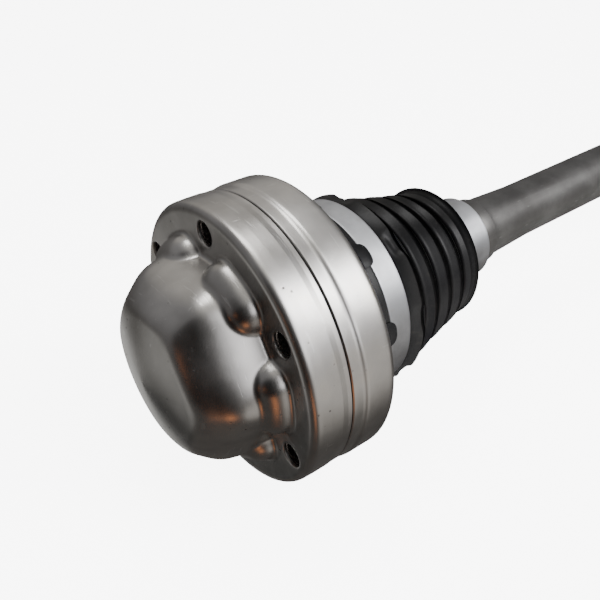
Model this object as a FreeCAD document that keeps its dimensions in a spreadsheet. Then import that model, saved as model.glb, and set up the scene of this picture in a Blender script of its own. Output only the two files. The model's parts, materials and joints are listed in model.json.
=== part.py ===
"""Plunging ball joint with its pressed covers, rubber boot and shaft.

The shaft's axis is X, with +X from the joint towards the shaft's free end.
The origin is the centre of the bolt circle, on the end cover's front face.
+Z passes through the first bolt hole.
"""
import FreeCAD, Part
import Sketcher
import math
import os
import re

from FreeCAD import Placement, Rotation, Vector

SIZES = {
    # pressed covers
    "cover_wall": 1.2,
    "seat_gap": 0.1,
    "seam_gap": 0.4,
    "rim_round": 2.6,
    "rim_inner_round": 1.0,
    "band_rise": 1.0,
    "front_ramp_at": 5.4,
    "front_band_end": 11.2,
    "rear_band_at": 19.4,
    "band_ramp": 1.2,
    "dome_foot_outset": 0.8,
    "dome_ridge_at": 15.9,
    "dome_ridge_inset": 1.2,
    "dome_ridge_round": 5.0,
    "dome_brow_at": 24.6,
    "dome_brow_inset": 9.7,
    "dome_brow_round": 9.0,
    "dome_front_at": 28.9,
    "dome_front_inset": 27.7,
    "dome_front_round": 20.0,
    "dome_crown_at": 29.2,
    "dome_flat_at": 8.7,
    "dome_flat_inset": 1.75,
    "dome_flat_tilt": 26.6,
    "lobe_outset": 0.6,
    "lobe_radius": 8.5,
    "lobe_sink": 0.4,
    "lobe_span": 16.0,
    "bell_outset": 5.8,
    "bell_depth": 7.0,
    "bell_taper": 1.6,
    "boot_seat_radius": 31.6,
    "boot_seat_end": 53.2,
    # gaskets
    "gasket_thick": 0.5,
    "gasket_relief": 0.4,
    # outer race
    "race_ring": 13.2,
    "race_wide": 29.0,
    "race_chamfer": 1.0,
    "bolt_inset": 5.9,
    "bolt_count": 6,
    "bolt_hole": 8.4,
    # balls and cage
    "ball_diameter": 22.2,
    "ball_circle_radius": 31.5,
    "track_clearance": 0.5,
    "cage_wall": 7.8,
    "cage_clearance": 0.3,
    "cage_wide": 32.0,
    "window_clearance": 0.05,
    "window_spare": 1.6,
    # inner race
    "hub_clearance": 0.4,
    "hub_wide": 26.0,
    "hub_chamfer": 0.8,
    # splines
    "spline_radius": 13.0,
    "spline_root_radius": 12.0,
    "spline_teeth": 24,
    "spline_tooth_wide": 1.7,
    "spline_flank": 0.35,
    "spline_clearance": 0.12,
    # shaft
    "shaft_stub": 5.0,
    "shaft_chamfer": 1.0,
    "shoulder_radius": 15.5,
    "shoulder_wide": 3.5,
    "neck_radius": 12.4,
    "neck_taper": 4.0,
    "seat_start": 99.0,
    "seat_radius": 13.3,
    "collar_end": 125.2,
    "collar_chamfer": 0.6,
    "bar_radius": 11.6,
    "flare_end": 152.0,
    "far_taper_start": 258.0,
    "far_spline_start": 264.0,
    "shaft_end": 300.0,
    "far_groove_inset": 5.0,
    "far_groove_wide": 1.6,
    "far_groove_depth": 1.0,
    "centre_drill_radius": 2.5,
    "centre_drill_depth": 4.0,
    # rings on the shaft
    "circlip_wide": 1.8,
    "circlip_high": 2.9,
    "circlip_opening": 28.0,
    "groove_clearance": 0.05,
    "ring_clearance": 0.2,
    "washer_radius": 18.5,
    "washer_thick": 1.1,
    "washer_dish": 1.0,
    "thrust_ring_radius": 17.2,
    "thrust_ring_thick": 2.0,
    # boot
    "boot_wall": 2.1,
    "boot_fit": 0.1,
    "lip_thick": 2.5,
    "lip_ridge_rise": 1.8,
    "lip_start": 41.4,
    "lip_ridge_wide": 3.2,
    "clamp_play": 0.2,
    "fold_count": 5,
    "first_fold_at": 57.6,
    "fold_pitch": 9.6,
    "first_fold_radius": 38.6,
    "fold_taper": 2.35,
    "fold_depth": 6.6,
    "fold_round": 2.0,
    "valley_round": 1.2,
    "collar_fit": 0.3,
    "collar_thick": 2.2,
    "nub_count": 8,
    "nub_start": 39.0,
    "nub_half_wide": 4.6,
    "nub_long": 4.8,
    "nub_round": 3.8,
    "nub_high": 1.2,
    # clamps
    "clamp_wall": 1.2,
    "clamp_round": 0.5,
    "large_clamp_wide": 9.0,
    "small_clamp_start": 104.4,
    "small_clamp_wide": 11.8,
    "small_clamp_fit": 0.3,
}

doc = FreeCAD.newDocument("ball_joint")
sheet = doc.addObject("Spreadsheet::Sheet", "sizes")
for row, (alias, value) in enumerate(SIZES.items(), start=1):
    sheet.set(f"A{row}", alias)
    sheet.set(f"B{row}", str(value))
    sheet.setAlias(f"B{row}", alias)
doc.recompute()

# Places worked out from the sizes, as formulas of the sheet's aliases.
CAGE_OUT = "(ball_circle_radius + cage_wall / 2)"
CAGE_IN = "(ball_circle_radius - cage_wall / 2)"
HUB_OUT = f"({CAGE_IN} - hub_clearance)"
RACE_IN = f"({CAGE_OUT} + cage_clearance)"
RACE_OUT = f"({RACE_IN} + race_ring)"
BOLT_AT = f"({RACE_OUT} - bolt_inset)"
BELL_OUT = f"({RACE_IN} + bell_outset)"
LOBE_AT = "(ball_circle_radius + lobe_outset)"
SKIRT_IN = f"({RACE_OUT} + seat_gap)"
SKIRT_OUT = f"({SKIRT_IN} + cover_wall)"
BAND_OUT = f"({SKIRT_OUT} + band_rise)"
BAND_IN = f"({SKIRT_IN} + band_rise)"
RACE_FRONT = "(cover_wall + gasket_thick)"
RACE_REAR = f"({RACE_FRONT} + race_wide)"
REAR_PLATE_IN = f"({RACE_REAR} + gasket_thick)"
REAR_PLATE_OUT = f"({REAR_PLATE_IN} + cover_wall)"
MIDDLE = f"({RACE_FRONT} + race_wide / 2)"
HALF_PITCH = "(180 / bolt_count)"
HUB_FRONT = f"({MIDDLE} - hub_wide / 2)"
HUB_REAR = f"({MIDDLE} + hub_wide / 2)"
SHAFT_START = f"({HUB_FRONT} - shaft_stub)"
RING_BORE = "(spline_radius + ring_clearance)"
WASHER_BACK = f"({HUB_REAR} + groove_clearance + washer_dish + washer_thick)"
SHOULDER = f"({WASHER_BACK} + thrust_ring_thick + 2 * groove_clearance)"
LIP_IN = "(boot_seat_radius + boot_fit)"
LIP_OUT = f"({LIP_IN} + lip_thick)"
CLAMP_START = "(lip_start + lip_ridge_wide + clamp_play)"
CLAMP_END = f"({CLAMP_START} + large_clamp_wide)"
CLAMP_IN = f"({LIP_OUT} + boot_fit)"
CLAMP_OUT = f"({CLAMP_IN} + clamp_wall)"
COLLAR_IN = "(seat_radius + collar_fit)"
COLLAR_OUT = f"({COLLAR_IN} + collar_thick)"
SMALL_CLAMP_IN = f"({COLLAR_OUT} + small_clamp_fit)"
SMALL_CLAMP_END = "(small_clamp_start + small_clamp_wide)"
TRACK_RADIUS = "(ball_diameter / 2 + track_clearance)"


def cells(formula):
    """The formula with each alias written as a reference to the sheet."""
    return re.sub(r"[a-z_]{4,}", lambda word: "sizes." + word[0] if word[0] in SIZES else word[0], formula)


def number(formula):
    """The formula's present value."""
    return float(sheet.evalExpression(cells(formula)))


def bind(feature, target, formula):
    """Tie a property or a constraint to a formula of the sheet."""
    feature.setExpression(target, cells(formula))


def new_body(label):
    body = doc.addObject("PartDesign::Body", label + "_body")
    body.Label = label
    return body


def origin_item(body, role):
    return next(item for item in body.Origin.OriginFeatures if item.Role == role)


def new_sketch(body, name, role, shift=None):
    """A sketch on one of the body's own origin planes, shifted along its normal."""
    sketch = body.newObject("Sketcher::SketchObject", name)
    sketch.AttachmentSupport = (origin_item(body, role), [""])
    sketch.MapMode = "FlatFace"
    if shift is not None:
        bind(sketch, "AttachmentOffset.Base.z", shift)
    return sketch


def place_point(sketch, geometry, across, upward):
    """Hold a geometry's first point at a formula's place from the sketch's origin."""
    for kind, formula in (("DistanceX", across), ("DistanceY", upward)):
        index = sketch.addConstraint(Sketcher.Constraint(kind, -1, 1, geometry, 1, number(formula)))
        if formula != "0":
            name = f"{kind}_{index}"
            sketch.renameConstraint(index, name)
            bind(sketch, f"Constraints.{name}", formula)


def draw_outline(sketch, corners):
    """A closed outline of lines; a corner is (across, upward) or (across, upward, rounding)."""
    count = len(corners)
    points = [Vector(number(corner[0]), number(corner[1]), 0) for corner in corners]
    radii = [number(corner[2]) if len(corner) > 2 else 0.0 for corner in corners]
    ahead = [(points[(i + 1) % count] - points[i]).normalize() for i in range(count)]
    turns = [ahead[i - 1].getAngle(ahead[i]) for i in range(count)]
    trims = [radii[i] * math.tan(turns[i] / 2) for i in range(count)]
    lines = []
    for i in range(count):
        after = (i + 1) % count
        begin = points[i] + ahead[i] * trims[i]
        end = points[after] - ahead[i] * trims[after]
        lines.append(sketch.addGeometry(Part.LineSegment(begin, end), False))
    for i, corner in enumerate(corners):
        before, line = lines[i - 1], lines[i]
        if not radii[i]:
            sketch.addConstraint(Sketcher.Constraint("Coincident", before, 2, line, 1))
            place_point(sketch, line, corner[0], corner[1])
            continue
        leftward = ahead[i - 1].cross(ahead[i]).z > 0
        inward = (ahead[i] - ahead[i - 1]).normalize()
        centre = points[i] + inward * (radii[i] / math.cos(turns[i] / 2))
        first = points[i] - ahead[i - 1] * trims[i] - centre
        last = points[i] + ahead[i] * trims[i] - centre
        if not leftward:
            first, last = last, first
        start_angle = math.atan2(first.y, first.x)
        end_angle = math.atan2(last.y, last.x)
        circle = Part.Circle(centre, Vector(0, 0, 1), radii[i])
        arc = sketch.addGeometry(Part.ArcOfCircle(circle, start_angle, end_angle), False)
        entry, leaving = (1, 2) if leftward else (2, 1)
        sketch.addConstraint(Sketcher.Constraint("Tangent", before, 2, arc, entry))
        sketch.addConstraint(Sketcher.Constraint("Tangent", arc, leaving, line, 1))
        apex = sketch.addGeometry(Part.Point(points[i]), True)
        place_point(sketch, apex, corner[0], corner[1])
        sketch.addConstraint(Sketcher.Constraint("PointOnObject", apex, 1, before))
        sketch.addConstraint(Sketcher.Constraint("PointOnObject", apex, 1, line))
        index = sketch.addConstraint(Sketcher.Constraint("Radius", arc, radii[i]))
        sketch.renameConstraint(index, f"Radius_{index}")
        bind(sketch, f"Constraints.Radius_{index}", corner[2])


def spin(body, kind, name, corners, angle=None):
    """Revolve an outline of (along, out) corners about X: kind is Revolution or Groove."""
    sketch = new_sketch(body, name + "_outline", "XY_Plane")
    draw_outline(sketch, corners)
    feature = body.newObject("PartDesign::" + kind, name)
    feature.Profile = sketch
    feature.ReferenceAxis = (sketch, ["H_Axis"])
    feature.Angle = 360
    if angle is not None:
        bind(feature, "Angle", angle)
    doc.recompute()
    return feature


def attach(feature, body, along, out, side="0", turn="0"):
    """Seat a primitive on the YZ plane, its axis along X, turned about X from +Z."""
    feature.AttachmentSupport = (origin_item(body, "YZ_Plane"), [""])
    feature.MapMode = "FlatFace"
    feature.AttachmentOffset = Placement(Vector(), Rotation(Vector(0, 0, 1), number(turn)))
    bind(feature, "AttachmentOffset.Base.x", f"({side}) * cos({turn}) - ({out}) * sin({turn})")
    bind(feature, "AttachmentOffset.Base.y", f"({side}) * sin({turn}) + ({out}) * cos({turn})")
    bind(feature, "AttachmentOffset.Base.z", along)


def cylinder(body, kind, name, radius, along, length, out, turn="0"):
    """A cylinder parallel to X: kind is Additive or Subtractive."""
    feature = body.newObject(f"PartDesign::{kind}Cylinder", name)
    attach(feature, body, along, out, turn=turn)
    bind(feature, "Radius", radius)
    bind(feature, "Height", length)
    return feature


def around(body, originals, count, name):
    """Repeat features evenly about X."""
    pattern = body.newObject("PartDesign::PolarPattern", name)
    pattern.Originals = originals
    pattern.Axis = (origin_item(body, "X_Axis"), [""])
    pattern.Angle = 360
    bind(pattern, "Occurrences", count)
    body.Tip = pattern
    doc.recompute()
    return pattern


def bolt_holes(body, diameter, along, length):
    """Bolt holes right through a piece, the first one at +Z."""
    hole = cylinder(body, "Subtractive", "bolt_hole_cut", f"{diameter} / 2", along, length,
                    BOLT_AT)
    around(body, [hole], "bolt_count", "bolt_holes")


def ball_tracks(body, radius, along, length):
    """Straight grooves for the balls, each half a pitch from the bolt holes."""
    track = cylinder(body, "Subtractive", "track_cut", radius, along, length,
                     "ball_circle_radius", HALF_PITCH)
    around(body, [track], "bolt_count", "ball_tracks")


def lobes(body, wall):
    """Bulges round the dome's foot: a bent pill for each ball, half sunk in the face."""
    turn = f"90 + {HALF_PITCH} - lobe_span / 2"
    torus = body.newObject("PartDesign::AdditiveTorus", "lobe_middle")
    attach(torus, body, "lobe_sink", "0", turn=turn)
    bind(torus, "AttachmentOffset.Rotation.Angle", turn)
    bind(torus, "Radius1", LOBE_AT)
    bind(torus, "Radius2", f"lobe_radius - {wall}")
    bind(torus, "Angle3", "lobe_span")
    around(body, [torus], "bolt_count", "lobe_middles")
    for name, sign in (("lobe_first_end", "-"), ("lobe_last_end", "+")):
        ball = body.newObject("PartDesign::AdditiveSphere", name)
        attach(ball, body, "lobe_sink", LOBE_AT, turn=f"({HALF_PITCH} {sign} lobe_span / 2)")
        bind(ball, "Radius", f"lobe_radius - {wall}")
        around(body, [ball], "bolt_count", name + "s")


def inset(corners, wall):
    """The same corners for a face that lies a wall further in, on the left of each edge.

    Every corner moves along the mean of its two edges' normals; the ends move straight out.
    """
    points = [Vector(number(along), number(out), 0) for along, out in corners]
    edges = [(b - a).normalize() for a, b in zip(points[:-1], points[1:])]
    normals = [Vector(-edge.y, edge.x, 0) for edge in edges]
    moved = []
    for (along, out), before, after in zip(corners, normals[:1] + normals, normals + normals[-1:]):
        shift = (before + after) * (1 / (1 + before.dot(after)))
        moved.append((f"{along} + {shift.x:.5f} * {wall}", f"{out} + {shift.y:.5f} * {wall}"))
    return moved


def dome(body, wall):
    """The deep-drawn dome: a turned form with a flat over each bolt hole."""
    foot, ridge, brow, front, crown = inset([
        ("0", f"{RACE_IN} + dome_foot_outset"),
        ("-dome_ridge_at", f"{RACE_IN} - dome_ridge_inset"),
        ("-dome_brow_at", f"{RACE_IN} - dome_brow_inset"),
        ("-dome_front_at", f"{RACE_IN} - dome_front_inset"),
        ("-dome_crown_at", "0"),
    ], wall)
    spin(body, "Revolution", "dome", [
        (wall, "0"), (wall, foot[1]),
        (*ridge, f"dome_ridge_round - {wall}"), (*brow, f"dome_brow_round - {wall}"),
        (*front, f"dome_front_round - {wall}"), (crown[0], "0"),
    ])
    flat = body.newObject("PartDesign::SubtractiveBox", "flat_cut")
    flat.AttachmentSupport = (origin_item(body, "YZ_Plane"), [""])
    flat.MapMode = "FlatFace"
    tilt = Rotation(Vector(1, 0, 0), -number("dome_flat_tilt"))
    flat.AttachmentOffset = Placement(Vector(), tilt)
    out = f"({RACE_IN} - dome_flat_inset - {wall} / cos(dome_flat_tilt))"
    bind(flat, "AttachmentOffset.Rotation.Angle", "-dome_flat_tilt")
    bind(flat, "AttachmentOffset.Base.x", f"-{RACE_IN}")
    bind(flat, "AttachmentOffset.Base.y", f"{out} - {RACE_IN} * sin(dome_flat_tilt)")
    bind(flat, "AttachmentOffset.Base.z", f"-dome_flat_at - {RACE_IN} * cos(dome_flat_tilt)")
    bind(flat, "Length", f"2 * {RACE_IN}")
    bind(flat, "Width", RACE_IN)
    bind(flat, "Height", f"2 * {RACE_IN}")
    around(body, [flat], "bolt_count", "flats")


def spline(body, along, length, female=False):
    """Straight-sided spline teeth about X, cut as grooves between them."""
    if female:
        wide = "(spline_tooth_wide + spline_flank) / 2 + spline_clearance"
        narrow = "(spline_tooth_wide - spline_flank) / 2 + spline_clearance"
    else:
        gap = "(pi * (spline_radius + spline_root_radius) / spline_teeth - spline_tooth_wide) / 2"
        wide = f"{gap} - spline_flank / 2"
        narrow = f"{gap} + spline_flank / 2"
    low, high = "spline_root_radius", "spline_radius + spline_clearance"
    sketch = new_sketch(body, "tooth_gap", "YZ_Plane", along)
    if female:
        turn = "180 / spline_teeth"
        sketch.AttachmentOffset = Placement(Vector(), Rotation(Vector(0, 0, 1), number(turn)))
        bind(sketch, "AttachmentOffset.Rotation.Angle", turn)
    draw_outline(sketch, [(f"-({wide})", low), (wide, low), (narrow, high), (f"-({narrow})", high)])
    pocket = body.newObject("PartDesign::Pocket", "tooth_gap_cut")
    pocket.Profile = sketch
    pocket.Reversed = True
    bind(pocket, "Length", length)
    doc.recompute()
    around(body, [pocket], "spline_teeth", "spline_gaps")


def pressed_form(label, wall, low, high, rim, end):
    """The end cover's form as a solid, from its outside or, a wall further in, its inside."""
    body = new_body(label)
    dome(body, wall)
    spin(body, "Revolution", "skirt", [
        (wall, "0"), (wall, low, rim),
        ("front_ramp_at", low), ("front_ramp_at + band_ramp", high),
        ("front_band_end", high), ("front_band_end + band_ramp", low),
        (end, low), (end, "0"),
    ])
    lobes(body, wall)
    return body


def end_cover():
    """Front cover: skirt over the race, rounded rim, face, lobes and dome in one pressing."""
    skirt_end = f"{MIDDLE} - seam_gap / 2 - cover_wall"
    body = pressed_form("end_cover", "0", SKIRT_OUT, BAND_OUT, "rim_round", skirt_end)
    inside = pressed_form("end_cover_inside", "cover_wall", SKIRT_IN, BAND_IN,
                          "rim_inner_round", MIDDLE)
    hollow = body.newObject("PartDesign::Boolean", "hollow")
    hollow.Type = "Cut"
    hollow.setObjects([inside])
    body.Tip = hollow
    doc.recompute()
    bolt_holes(body, "bolt_hole", "-cover_wall", "3 * cover_wall")
    return body


def rear_cover():
    """Boot-side cover: skirt, rounded rear edge, bell for the balls and the boot's seat."""
    body = new_body("rear_cover")
    skirt_start = f"{MIDDLE} + seam_gap / 2 - cover_wall"
    band_start = "rear_band_at + band_ramp"
    bell_end = f"{REAR_PLATE_OUT} + bell_depth"
    spin(body, "Revolution", "pressing", [
        (skirt_start, SKIRT_IN), (skirt_start, SKIRT_OUT),
        ("rear_band_at", SKIRT_OUT), (band_start, BAND_OUT),
        (REAR_PLATE_OUT, BAND_OUT, "rim_round"),
        (REAR_PLATE_OUT, BELL_OUT),
        (bell_end, f"{BELL_OUT} - bell_taper", "rim_round"),
        (bell_end, "boot_seat_radius"),
        ("boot_seat_end", "boot_seat_radius"),
        ("boot_seat_end", "boot_seat_radius - cover_wall"),
        (f"{bell_end} - cover_wall", "boot_seat_radius - cover_wall"),
        (f"{bell_end} - cover_wall", f"{BELL_OUT} - bell_taper - cover_wall",
         "rim_round - cover_wall"),
        (REAR_PLATE_IN, f"{BELL_OUT} - cover_wall"),
        (REAR_PLATE_IN, BAND_IN, "rim_round - cover_wall"),
        (band_start, BAND_IN), ("rear_band_at", SKIRT_IN),
    ])
    bolt_holes(body, "bolt_hole", f"{REAR_PLATE_IN} - cover_wall", "3 * cover_wall")
    return body


def gasket(label, along):
    """Thin gasket with the race face's own openings."""
    body = new_body(label)
    end = f"{along} + gasket_thick"
    inner, outer = f"{RACE_IN} + gasket_relief", f"{RACE_OUT} - race_chamfer"
    spin(body, "Revolution", "ring", [(along, inner), (along, outer), (end, outer), (end, inner)])
    start = f"{along} - gasket_thick"
    ball_tracks(body, f"{TRACK_RADIUS} + gasket_relief", start, "3 * gasket_thick")
    bolt_holes(body, "(bolt_hole + gasket_relief)", start, "3 * gasket_thick")
    return body


def outer_race():
    """Outer race: a ring with straight ball tracks inside and bolt holes between them."""
    body = new_body("outer_race")
    spin(body, "Revolution", "ring", [
        (RACE_FRONT, f"{RACE_IN} + race_chamfer"), (RACE_FRONT, f"{RACE_OUT} - race_chamfer"),
        (f"{RACE_FRONT} + race_chamfer", RACE_OUT), (f"{RACE_REAR} - race_chamfer", RACE_OUT),
        (RACE_REAR, f"{RACE_OUT} - race_chamfer"), (RACE_REAR, f"{RACE_IN} + race_chamfer"),
        (f"{RACE_REAR} - race_chamfer", RACE_IN), (f"{RACE_FRONT} + race_chamfer", RACE_IN),
    ])
    start, length = f"{RACE_FRONT} - race_chamfer", "race_wide + 2 * race_chamfer"
    ball_tracks(body, TRACK_RADIUS, start, length)
    bolt_holes(body, "bolt_hole", start, length)
    return body


def sphere_ring(body, outer_radius, wide, bore):
    """A solid of revolution with a spherical outside, centred on the joint's middle."""
    reach = f"sqrt({outer_radius} ^ 2 - ({wide} / 2) ^ 2)"
    sketch = new_sketch(body, "ring_outline", "XY_Plane")
    middle, half, radius = number(MIDDLE), number(wide) / 2, number(outer_radius)
    rise, low = number(reach), number(bore)
    front, rear = middle - half, middle + half
    arc = Part.Arc(Vector(rear, rise, 0), Vector(middle, radius, 0), Vector(front, rise, 0))
    dome_edge = sketch.addGeometry(arc, False)
    front_edge = sketch.addGeometry(Part.LineSegment(Vector(front, rise, 0), Vector(front, low, 0)))
    bore_edge = sketch.addGeometry(Part.LineSegment(Vector(front, low, 0), Vector(rear, low, 0)))
    rear_edge = sketch.addGeometry(Part.LineSegment(Vector(rear, low, 0), Vector(rear, rise, 0)))
    sketch.addConstraint(Sketcher.Constraint("Coincident", dome_edge, 2, front_edge, 1))
    sketch.addConstraint(Sketcher.Constraint("Coincident", front_edge, 2, bore_edge, 1))
    sketch.addConstraint(Sketcher.Constraint("Coincident", bore_edge, 2, rear_edge, 1))
    sketch.addConstraint(Sketcher.Constraint("Coincident", rear_edge, 2, dome_edge, 1))
    place_point(sketch, front_edge, f"{MIDDLE} - {wide} / 2", reach)
    place_point(sketch, bore_edge, f"{MIDDLE} - {wide} / 2", bore)
    place_point(sketch, rear_edge, f"{MIDDLE} + {wide} / 2", bore)
    sketch.addConstraint(Sketcher.Constraint("Vertical", rear_edge))
    index = sketch.addConstraint(Sketcher.Constraint("Radius", dome_edge, radius))
    sketch.renameConstraint(index, "sphere")
    bind(sketch, "Constraints.sphere", outer_radius)
    ring = body.newObject("PartDesign::Revolution", "ring")
    ring.Profile = sketch
    ring.ReferenceAxis = (sketch, ["H_Axis"])
    ring.Angle = 360
    doc.recompute()
    return ring


def cage():
    """Ball cage: spherical inside and out, with a window for each ball."""
    body = new_body("cage")
    sphere_ring(body, CAGE_OUT, "cage_wide", "spline_radius")
    hollow = body.newObject("PartDesign::SubtractiveSphere", "hollow")
    attach(hollow, body, MIDDLE, "0")
    bind(hollow, "Radius", CAGE_IN)
    doc.recompute()
    window = body.newObject("PartDesign::SubtractiveBox", "window_cut")
    breadth = "(ball_diameter + window_spare)"
    length = "(ball_diameter + 2 * window_clearance)"
    attach(window, body, f"{MIDDLE} - {length} / 2", "spline_radius", f"-{breadth} / 2", HALF_PITCH)
    bind(window, "AttachmentOffset.Rotation.Angle", HALF_PITCH)
    bind(window, "Length", breadth)
    bind(window, "Width", CAGE_OUT)
    bind(window, "Height", length)
    around(body, [window], "bolt_count", "windows")
    return body


def ball(label, place):
    """One ball of the joint, at rest in the middle of its track."""
    sphere = doc.addObject("Part::Sphere", label)
    sphere.Label = label
    turn = f"({place} + 0.5) * 360 / bolt_count"
    bind(sphere, "Radius", "ball_diameter / 2")
    bind(sphere, "Placement.Base.x", MIDDLE)
    bind(sphere, "Placement.Base.y", f"-ball_circle_radius * sin({turn})")
    bind(sphere, "Placement.Base.z", f"ball_circle_radius * cos({turn})")
    return sphere


def inner_race():
    """Splined hub with a spherical outside and a track for each ball."""
    body = new_body("inner_race")
    sphere_ring(body, HUB_OUT, "hub_wide", "(spline_root_radius + spline_clearance)")
    ball_tracks(body, TRACK_RADIUS, f"{HUB_FRONT} - hub_chamfer", "hub_wide + 2 * hub_chamfer")
    spline(body, HUB_FRONT, "hub_wide", female=True)
    return body


def shaft():
    """Half shaft: spline and ring groove, shoulder, boot seat, bar, and a free splined end."""
    body = new_body("shaft")
    taper_end = f"{SHOULDER} + shoulder_wide + neck_taper"
    collar_small = "seat_radius - collar_chamfer"
    spline_edge = "spline_radius - shaft_chamfer"
    spin(body, "Revolution", "turned_bar", [
        (SHAFT_START, "0"), (SHAFT_START, spline_edge),
        (f"{SHAFT_START} + shaft_chamfer", "spline_radius"), (SHOULDER, "spline_radius"),
        (SHOULDER, "shoulder_radius"), (f"{SHOULDER} + shoulder_wide", "shoulder_radius"),
        (taper_end, "neck_radius", "neck_taper"),
        ("seat_start - neck_taper", "neck_radius"), ("seat_start", "seat_radius"),
        ("collar_end", "seat_radius"), ("collar_end + collar_chamfer", collar_small),
        ("flare_end", "bar_radius", "flare_end - collar_end"),
        ("far_taper_start", "bar_radius"), ("far_spline_start", "spline_radius"),
        ("shaft_end - shaft_chamfer", "spline_radius"), ("shaft_end", spline_edge),
        ("shaft_end", "0"),
    ])
    groove_start = f"{HUB_FRONT} - circlip_wide - 2 * groove_clearance"
    groove_floor = "spline_radius - far_groove_depth - groove_clearance"
    spin(body, "Groove", "circlip_groove", [
        (groove_start, "shoulder_radius"), (groove_start, groove_floor),
        (HUB_FRONT, groove_floor), (HUB_FRONT, "shoulder_radius"),
    ])
    far_start = "shaft_end - far_groove_inset"
    far_stop = f"{far_start} + far_groove_wide"
    far_floor = "spline_radius - far_groove_depth"
    spin(body, "Groove", "far_ring_groove", [
        (far_start, "shoulder_radius"), (far_start, far_floor),
        (far_stop, far_floor), (far_stop, "shoulder_radius"),
    ])
    for name, along, inward in (
        ("inner_centre", SHAFT_START, "+"), ("far_centre", "shaft_end", "-"),
    ):
        tip = f"{along} {inward} centre_drill_depth"
        spin(body, "Groove", name, [(along, "0"), (along, "centre_drill_radius"), (tip, "0")])
    spline(body, SHAFT_START, f"{HUB_REAR} - {SHAFT_START}")
    spline(body, "far_spline_start", "shaft_end - far_spline_start")
    return body


def circlip():
    """Open snap ring that holds the inner race on the shaft."""
    body = new_body("circlip")
    bore = "spline_radius - far_groove_depth"
    start = f"{HUB_FRONT} - circlip_wide - groove_clearance"
    end = f"{HUB_FRONT} - groove_clearance"
    spin(body, "Revolution", "ring", [
        (start, bore), (start, f"{bore} + circlip_high"),
        (end, f"{bore} + circlip_high"), (end, bore),
    ], "360 - circlip_opening")
    return body


def dished_washer():
    """Spring washer that keeps the inner race tight against the circlip."""
    body = new_body("dished_washer")
    touch = f"{HUB_REAR} + groove_clearance"
    spin(body, "Revolution", "dish", [
        (f"{touch} + washer_dish", RING_BORE), (touch, "washer_radius"),
        (f"{touch} + washer_thick", "washer_radius"),
        (f"{touch} + washer_dish + washer_thick", RING_BORE),
    ])
    return body


def thrust_ring():
    """Flat ring between the spring washer and the shaft's shoulder."""
    body = new_body("thrust_ring")
    start = f"{WASHER_BACK} + groove_clearance"
    end = f"{start} + thrust_ring_thick"
    spin(body, "Revolution", "ring", [
        (start, RING_BORE), (start, "thrust_ring_radius"),
        (end, "thrust_ring_radius"), (end, RING_BORE),
    ])
    return body


def fold_corners():
    """Crests and valleys of the bellows' outside, from the lip to the collar."""
    corners = []
    folds = int(SIZES["fold_count"])
    for fold in range(folds):
        at = f"first_fold_at + {fold} * fold_pitch"
        crest = f"first_fold_radius - {fold} * fold_taper"
        corners.append((at, crest, "fold_round"))
        if fold < folds - 1:
            valley = f"{crest} - fold_depth - fold_taper / 2"
            corners.append((f"{at} + fold_pitch / 2", valley, "valley_round"))
    return corners


def boot():
    """Rubber boot: lip with locating nubs, bellows and the small collar, one moulding."""
    body = new_body("boot")
    outside = fold_corners()
    inside = [(at, f"{radius} - boot_wall", rounding) for at, radius, rounding in reversed(outside)]
    ridge = f"{LIP_OUT} + lip_ridge_rise"
    ridge_end = "lip_start + lip_ridge_wide"
    nub_tip = "lip_start + nub_long"
    spin(body, "Revolution", "moulding", [
        ("lip_start", LIP_IN), ("lip_start", ridge, "clamp_round"),
        (ridge_end, ridge, "clamp_round"), (ridge_end, LIP_OUT),
        (f"{CLAMP_END} + clamp_play", LIP_OUT),
        *outside,
        ("small_clamp_start - clamp_play", COLLAR_OUT),
        (f"{SMALL_CLAMP_END} + clamp_play", COLLAR_OUT),
        (f"{SMALL_CLAMP_END} + clamp_play", COLLAR_IN),
        ("small_clamp_start - clamp_play", COLLAR_IN),
        *inside,
        (f"{CLAMP_END} + clamp_play", LIP_IN),
    ])
    outline = new_sketch(body, "nub_outline", "XY_Plane", f"{CLAMP_OUT} + boot_fit")
    draw_outline(outline, [
        ("lip_start", "-nub_half_wide"), (nub_tip, "-nub_half_wide", "nub_round"),
        (nub_tip, "nub_half_wide", "nub_round"), ("lip_start", "nub_half_wide"),
    ])
    nub = body.newObject("PartDesign::Pad", "nub")
    nub.Profile = outline
    bind(nub, "Length", "nub_high")
    doc.recompute()
    around(body, [nub], "nub_count", "nubs")
    body.Placement = Placement(Vector(), Rotation(Vector(1, 0, 0), SIZES["nub_start"]))
    bind(body, "Placement.Rotation.Angle", "nub_start")
    return body


def clamp(label, start, wide, bore):
    """Smooth swaged band clamp with rounded edges."""
    body = new_body(label)
    end, outside = f"{start} + {wide}", f"{bore} + clamp_wall"
    spin(body, "Revolution", "band", [
        (start, bore), (start, outside, "clamp_round"), (end, outside, "clamp_round"), (end, bore),
    ])
    return body


pieces = [
    end_cover(),
    rear_cover(),
    gasket("front_gasket", "cover_wall"),
    gasket("rear_gasket", RACE_REAR),
    outer_race(),
    cage(),
    inner_race(),
    shaft(),
    circlip(),
    dished_washer(),
    thrust_ring(),
    boot(),
    clamp("large_clamp", CLAMP_START, "large_clamp_wide", CLAMP_IN),
    clamp("small_clamp", "small_clamp_start", "small_clamp_wide", SMALL_CLAMP_IN),
]
for place in range(int(SIZES["bolt_count"])):
    pieces.append(ball(f"ball_{place + 1}", place))
doc.recompute()

for item in doc.Objects:
    if "Invalid" in item.State or "Error" in item.State:
        raise RuntimeError(f"{item.Name} failed: {item.State}")
os.makedirs("parts", exist_ok=True)
for piece in pieces:
    shape = piece.Shape
    if shape.isNull() or not shape.isValid():
        raise RuntimeError(f"{piece.Label} has no valid shape")
for piece in pieces:
    piece.Shape.exportStep(f"parts/{piece.Label}.step")
    print(f"{piece.Label}: {len(piece.Shape.Solids)} solid, {piece.Shape.Volume:.0f} mm3")
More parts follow.
